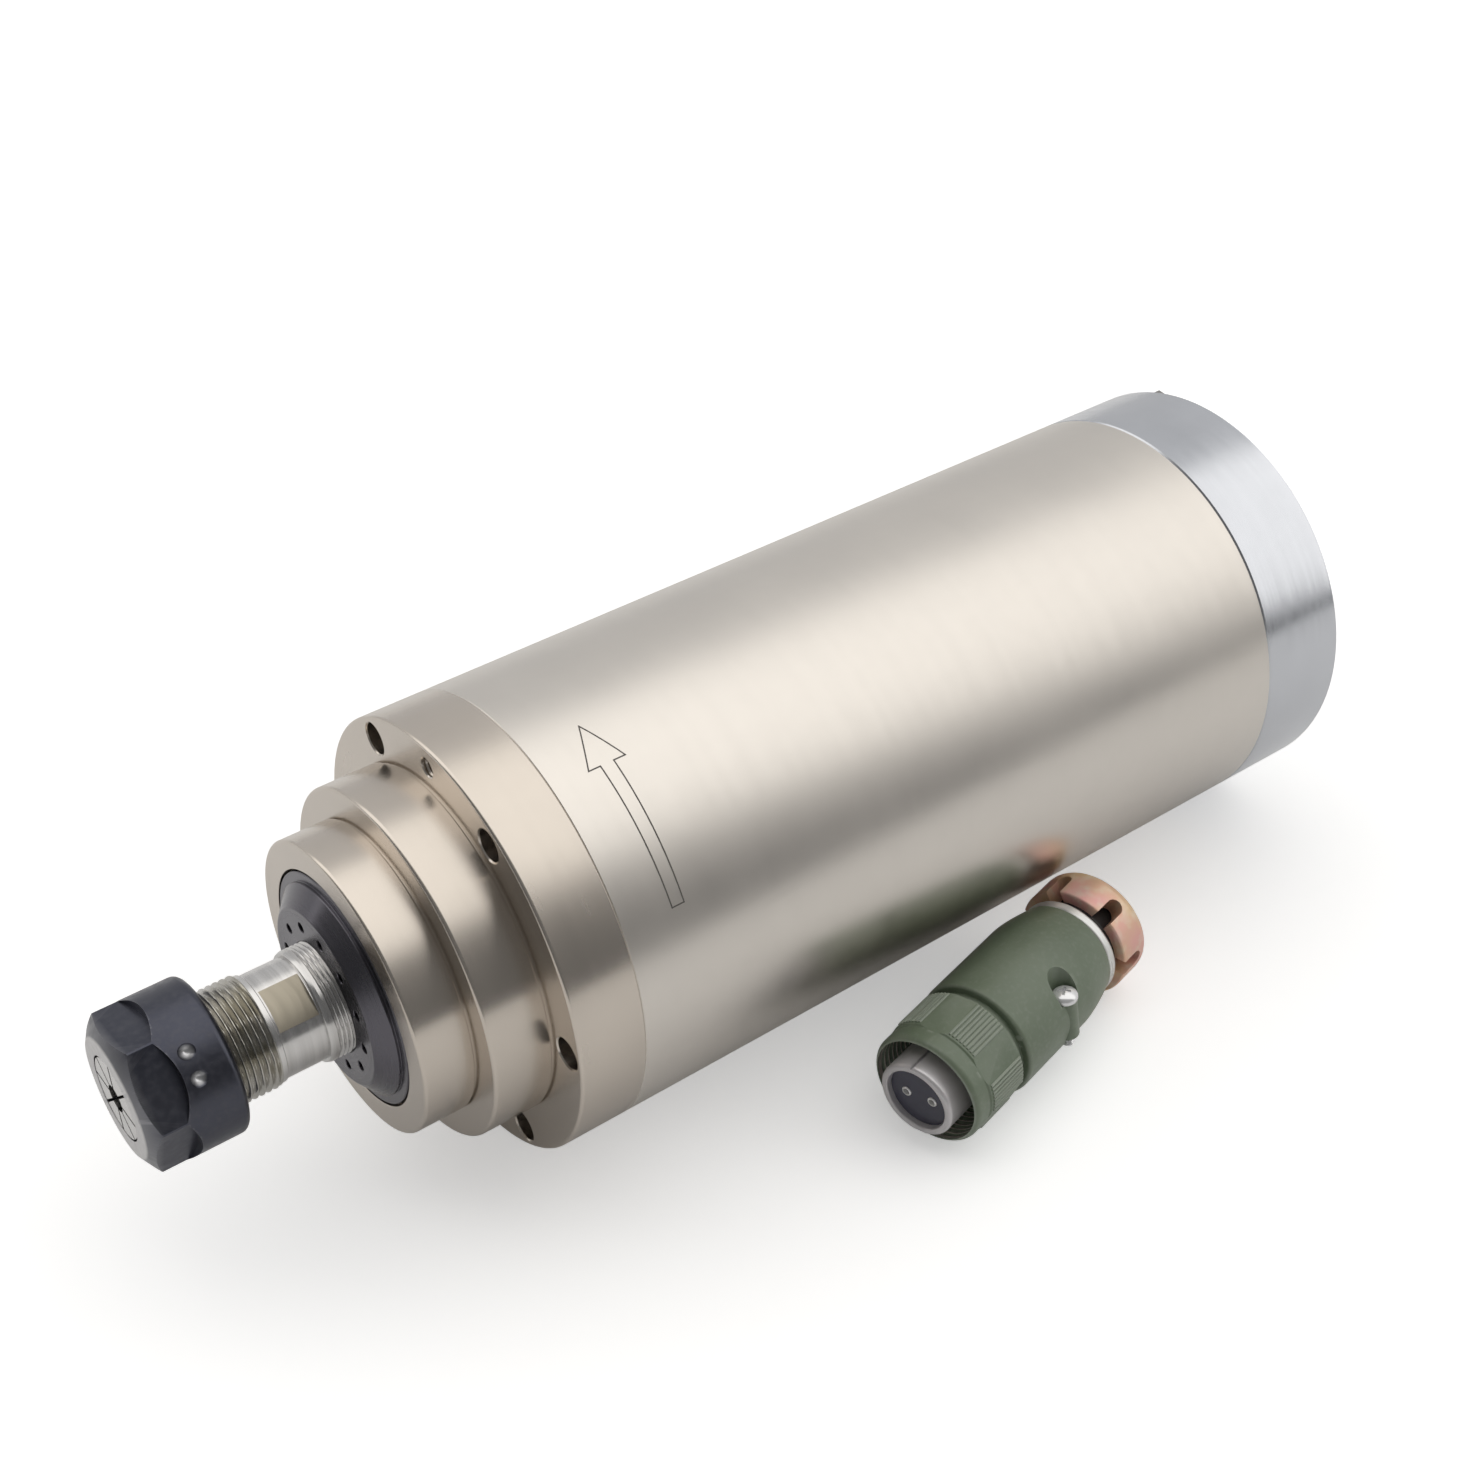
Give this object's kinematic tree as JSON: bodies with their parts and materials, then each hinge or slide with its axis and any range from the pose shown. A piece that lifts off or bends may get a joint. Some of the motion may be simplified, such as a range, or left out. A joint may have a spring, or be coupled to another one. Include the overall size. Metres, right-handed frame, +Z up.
{
  "type": "motor spindle",
  "caption": "Water-cooled high-speed motor spindle with a collet nose, barrel housing, and a cable plug beside it.",
  "frame": {"origin": "on the spindle axis, in the plane of the flange's front face", "axes": "+X along the spindle axis from the nose to the rear, +Z up, the plug lies on the -Y side"},
  "size_m": [0.3222, 0.1333, 0.1],
  "materials": {
    "barrel_nickel": "satin plated, fine turned",
    "flange_nickel": "bright plated, turned",
    "cap_aluminium": "satin turned",
    "black_oxide": "semi-gloss black finish",
    "shaft_steel": "ground and turned",
    "bearing_steel": "polished",
    "cage_brass": "machined",
    "core_steel": "stacked sheets",
    "winding_copper": "varnished wire",
    "lead_red": "smooth",
    "jacket_aluminium": "machined",
    "seal_rubber": "smooth",
    "screw_steel": "plain",
    "spring_steel": "tempered",
    "collet_steel": "ground",
    "fitting_nickel": "nickel plated",
    "green_paint": "semi-gloss paint",
    "die_cast_grey": "bare die casting",
    "insulator_black": "moulded",
    "contact_plate": "plated",
    "clamp_zinc": "yellow passivated",
    "screw_bright": "bright plated"
  },
  "bodies": {
    "housing": {"front_flange": "flange_nickel", "front_cover": "flange_nickel", "barrel": "barrel_nickel", "water_jacket": "jacket_aluminium", "seal_rings": "seal_rubber", "rear_seat": "core_steel", "rear_cap": "cap_aluminium", "front_screws": "screw_steel", "rear_screws": "screw_steel", "earth_screw": "screw_steel", "earth_washer": "fitting_nickel", "stator_core": "core_steel", "stator_windings": "winding_copper", "motor_leads": "lead_red", "front_outer_rings": "bearing_steel", "rear_outer_rings": "bearing_steel", "outer_spacers": "bearing_steel", "preload_spring": "spring_steel", "bearing_plate": "screw_steel", "plate_screws": "screw_steel", "hose_fittings": "fitting_nickel", "socket_shell": "green_paint", "socket_insulator": "insulator_black", "socket_pins": "contact_plate", "socket_screws": "screw_bright"},
    "rotor": {"shaft": "shaft_steel", "dust_cap": "black_oxide", "front_inner_rings": "bearing_steel", "rear_inner_rings": "bearing_steel", "inner_spacers": "bearing_steel", "rotor_core": "core_steel", "rotor_end_rings": "cap_aluminium", "bearing_nut": "screw_steel"},
    "front_cage_set": {"front_cages": "cage_brass", "front_balls": "bearing_steel"},
    "rear_cage_set": {"rear_cages": "cage_brass", "rear_balls": "bearing_steel"},
    "collet_body": {"collet": "collet_steel"},
    "nut_body": {"collet_nut": "black_oxide", "extractor_ring": "collet_steel"},
    "plug_body": {"plug_insert": "die_cast_grey", "plug_insulator": "insulator_black", "plug_contacts": "contact_plate", "plug_shell": "green_paint", "plug_band": "die_cast_grey", "plug_gasket": "seal_rubber", "plug_clamp": "clamp_zinc", "plug_screw": "screw_bright"},
    "plug_ring_body": {"plug_ring": "green_paint"}
  },
  "joints": [
    {"name": "spindle_spin", "type": "hinge", "parent": "housing", "child": "rotor", "pos_m": [0, 0, 0], "axis": [-1, 0, 0], "continuous": true},
    {"name": "front_ball_spin", "type": "hinge", "parent": "housing", "child": "front_cage_set", "pos_m": [0, 0, 0], "axis": [-1, 0, 0], "continuous": true},
    {"name": "rear_ball_spin", "type": "hinge", "parent": "housing", "child": "rear_cage_set", "pos_m": [0.183, 0, 0], "axis": [-1, 0, 0], "continuous": true},
    {"name": "collet_draw", "type": "slide", "parent": "rotor", "child": "collet_body", "axis": [-1, 0, 0], "range_m": [0, 0.00225]},
    {"name": "nut_turn", "type": "hinge", "parent": "collet_body", "child": "nut_body", "pos_m": [-0.0762, 0, 0], "axis": [-1, 0, 0], "range_deg": [0, 540]},
    {"name": "plug_lift", "type": "slide", "parent": "housing", "child": "plug_body", "axis": [0, -0.7071, 0.7071], "range_m": [0, 0.15]},
    {"name": "plug_ring_turn", "type": "hinge", "parent": "plug_body", "child": "plug_ring_body", "pos_m": [0.0742, -0.0702, -0.0354], "axis": [0.9703, 0.2419, 0], "continuous": true}
  ],
  "couplings": [
    {"joint": "front_ball_spin", "follows": "spindle_spin", "ratio": 0.4195},
    {"joint": "rear_ball_spin", "follows": "spindle_spin", "ratio": 0.4108},
    {"joint": "nut_turn", "follows": "collet_draw", "rad_per_m": 4188.8}
  ]
}
